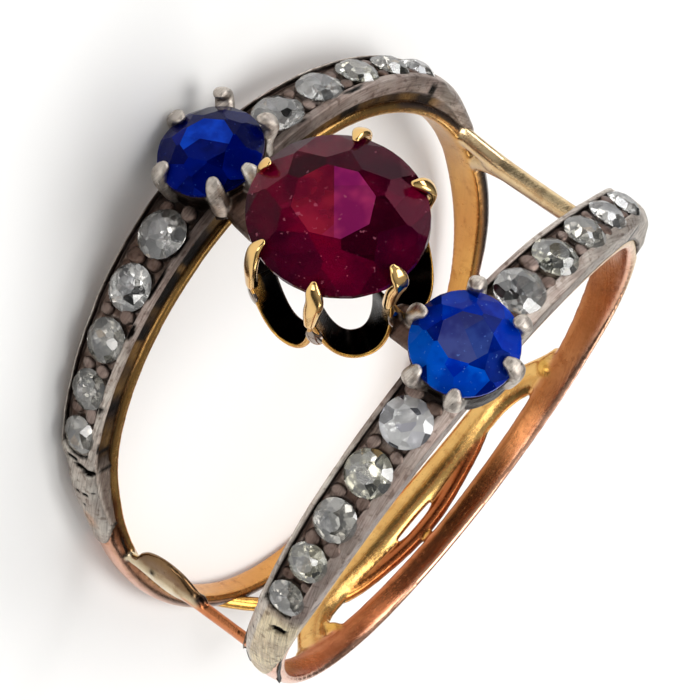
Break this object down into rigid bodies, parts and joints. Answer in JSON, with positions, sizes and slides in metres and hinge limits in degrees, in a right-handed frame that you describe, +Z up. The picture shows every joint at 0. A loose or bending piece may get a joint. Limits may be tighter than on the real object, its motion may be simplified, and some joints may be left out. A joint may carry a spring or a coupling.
{
  "type": "double band ring",
  "caption": "Gold finger ring of splayed double hoops with silver fronts of diamonds and sapphires and a claw-set ruby between them.",
  "frame": {"origin": "centre of the bounding box on the table the ring lies on", "axes": "+Z up from the table, -Y to the ruby's side, the finger hole's axis nearly upright, X along the table across the finger hole"},
  "size_m": [0.0198, 0.024, 0.0142],
  "materials": {
    "gold_and_silver": "worn, with oxidised silver fronts",
    "ruby": "cut and polished",
    "sapphire": "cut and polished",
    "diamond": "old cut, slightly worn"
  },
  "bodies": {
    "root": {"ring_frame": "gold_and_silver", "ruby": "ruby", "near_sapphire": "sapphire", "far_sapphire": "sapphire", "near_diamond_1": "diamond", "near_diamond_2": "diamond", "near_diamond_3": "diamond", "near_diamond_4": "diamond", "near_diamond_5": "diamond", "near_diamond_6": "diamond", "near_diamond_7": "diamond", "near_diamond_8": "diamond", "near_diamond_9": "diamond", "near_diamond_10": "diamond", "far_diamond_1": "diamond", "far_diamond_2": "diamond", "far_diamond_3": "diamond", "far_diamond_4": "diamond", "far_diamond_5": "diamond", "far_diamond_6": "diamond", "far_diamond_7": "diamond", "far_diamond_8": "diamond", "far_diamond_9": "diamond", "far_diamond_10": "diamond"}
  },
  "joints": []
}
